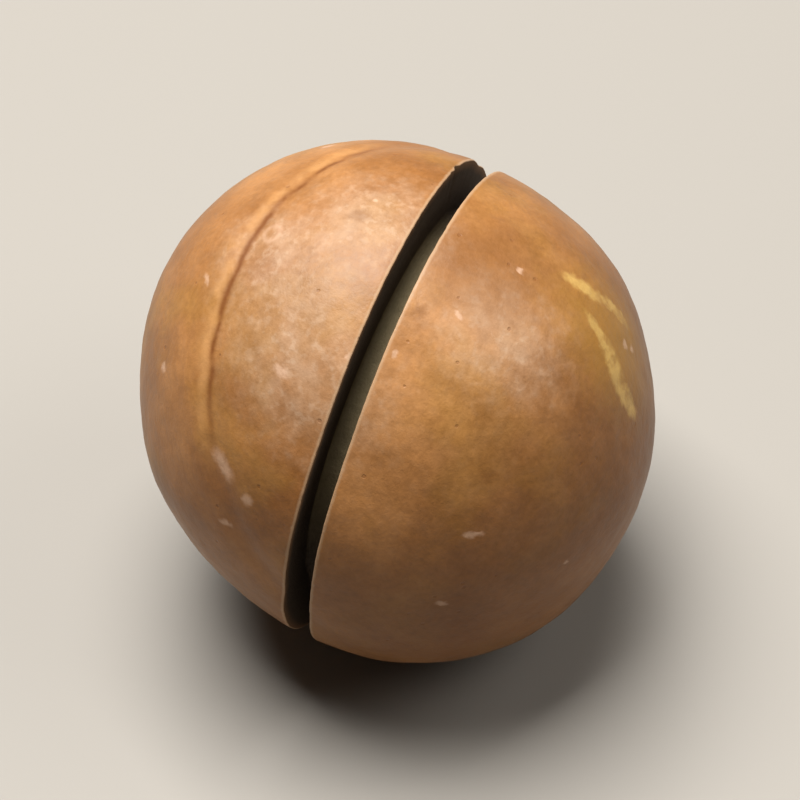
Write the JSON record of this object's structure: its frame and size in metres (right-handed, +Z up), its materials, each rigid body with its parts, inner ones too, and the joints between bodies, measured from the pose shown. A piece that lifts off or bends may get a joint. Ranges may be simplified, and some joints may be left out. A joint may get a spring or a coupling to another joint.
{
  "type": "macadamia nut in shell",
  "caption": "Round hard-shelled brown nut, sawn part of the way round so that it can be twisted open, lying on a small flat spot.",
  "frame": {"origin": "middle of the small flat spot that the nut rests on", "axes": "+Z up; the saw slit runs front to back over the top, close to the YZ plane; -Y is the front, where the slit reaches lowest"},
  "size_m": [0.0249, 0.0245, 0.0251],
  "materials": {
    "shell": "satin"
  },
  "bodies": {
    "root": {"nut_in_shell": "shell"}
  },
  "joints": []
}
